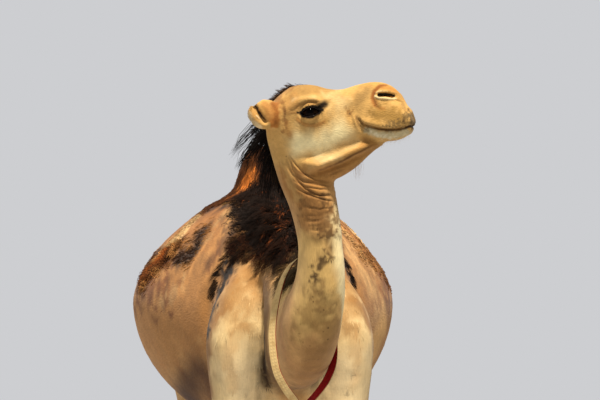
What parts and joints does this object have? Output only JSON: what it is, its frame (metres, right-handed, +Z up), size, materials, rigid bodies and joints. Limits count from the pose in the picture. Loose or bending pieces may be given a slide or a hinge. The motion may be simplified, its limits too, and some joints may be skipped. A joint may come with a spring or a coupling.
{
  "type": "camel",
  "caption": "Standing dromedary camel, life size, head raised and turned to its left, with a shaggy hump and nape and a loose webbing collar round the neck.",
  "frame": {"origin": "on the floor under the middle of the whole animal's box", "axes": "the camel faces -Y, its left side is +X, +Z is up"},
  "size_m": [0.9242, 2.2636, 2.1096],
  "materials": {
    "coat": "short golden tan hair, matt",
    "wool": "long shaggy brown wool, matt",
    "mane": "long black and dark brown hair, matt",
    "pale_coat": "short pale hair, matt",
    "sole": "short hair over a soft leathery pad, matt",
    "callus": "bare horny callus, dull",
    "eye": "wet dark brown eye, glossy",
    "horn": "dark horn, dull",
    "webbing": "cream woven webbing, matt",
    "lining": "red woven webbing, matt"
  },
  "bodies": {
    "root": {"trunk": "coat", "hump": "wool", "brisket_pad": "callus", "tail": "coat", "neck_lower": "coat", "neck_upper": "coat", "mane": "mane", "head": "coat", "lower_jaw": "pale_coat", "eye_right": "eye", "eye_left": "eye", "ear_right": "pale_coat", "ear_left": "pale_coat", "collar_webbing": "webbing", "collar_lining": "lining", "collar_knot": "lining", "fore_arm_left": "coat", "fore_shank_left": "coat", "fore_foot_left": "sole", "hind_thigh_left": "coat", "hind_shank_left": "coat", "hind_foot_left": "sole", "fore_nail_left_inner": "horn", "fore_nail_left_outer": "horn", "hind_nail_left_inner": "horn", "hind_nail_left_outer": "horn", "fore_arm_right": "coat", "fore_shank_right": "coat", "fore_foot_right": "sole", "hind_thigh_right": "coat", "hind_shank_right": "coat", "hind_foot_right": "sole", "fore_nail_right_inner": "horn", "fore_nail_right_outer": "horn", "hind_nail_right_inner": "horn", "hind_nail_right_outer": "horn"}
  },
  "joints": []
}
